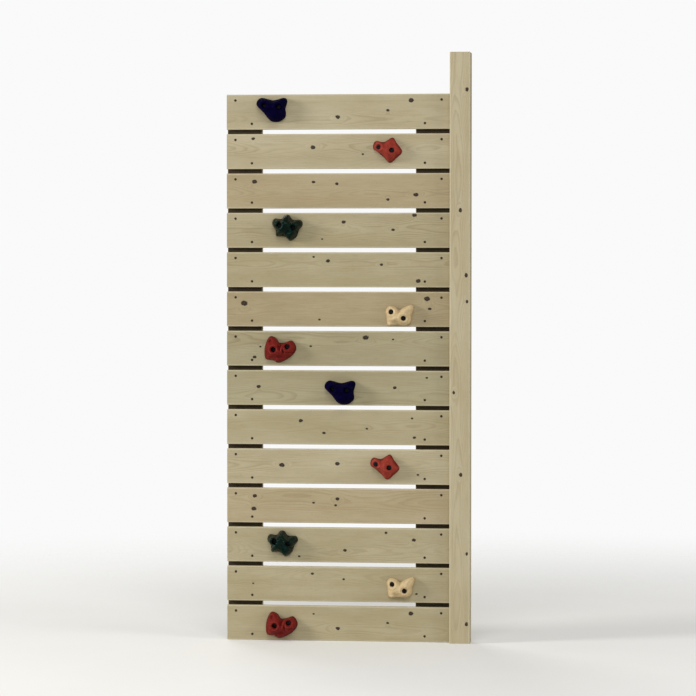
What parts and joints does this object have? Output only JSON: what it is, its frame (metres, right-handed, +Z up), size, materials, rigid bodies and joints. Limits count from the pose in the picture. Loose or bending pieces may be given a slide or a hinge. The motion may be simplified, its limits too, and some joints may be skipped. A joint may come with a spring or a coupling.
{
  "type": "climbing wall",
  "caption": "Vertical slatted timber climbing wall for a play tower: horizontal boards screwed to two uprights and a taller corner post, with bolted-on moulded holds.",
  "frame": {"origin": "on the ground, under the middle of the object's bounding box", "axes": "+Z up, +X to the right of a climber facing the wall, the climbing face looks along -Y"},
  "size_m": [0.84, 0.098, 2.015],
  "materials": {
    "pine_slats": "planed pressure-treated pine, weathered satin",
    "pine_uprights": "planed pressure-treated pine",
    "pine_post": "planed pressure-treated pine, rounded arrises",
    "hold_blue": "satin moulded plastic",
    "hold_red": "satin moulded plastic",
    "hold_green": "semi-gloss moulded plastic",
    "hold_cream": "satin moulded plastic",
    "screw_steel": "dark coated deck screws",
    "bolt_steel": "black oxide",
    "zinc_steel": "bright zinc plate"
  },
  "bodies": {
    "root": {"slat_01": "pine_slats", "slat_02": "pine_slats", "slat_03": "pine_slats", "slat_04": "pine_slats", "slat_05": "pine_slats", "slat_06": "pine_slats", "slat_07": "pine_slats", "slat_08": "pine_slats", "slat_09": "pine_slats", "slat_10": "pine_slats", "slat_11": "pine_slats", "slat_12": "pine_slats", "slat_13": "pine_slats", "slat_14": "pine_slats", "left_upright": "pine_uprights", "right_upright": "pine_uprights", "corner_post": "pine_post", "hold_shield_blue_upper": "hold_blue", "hold_star_red_upper": "hold_red", "hold_flower_green_upper": "hold_green", "hold_hide_cream_upper": "hold_cream", "hold_heart_red_upper": "hold_red", "hold_shield_blue_lower": "hold_blue", "hold_star_red_lower": "hold_red", "hold_flower_green_lower": "hold_green", "hold_hide_cream_lower": "hold_cream", "hold_heart_red_lower": "hold_red", "left_slat_screws": "screw_steel", "right_slat_screws": "screw_steel", "post_screws": "screw_steel", "hold_bolts": "bolt_steel", "hold_washers": "bolt_steel", "tee_nuts": "zinc_steel"}
  },
  "joints": []
}
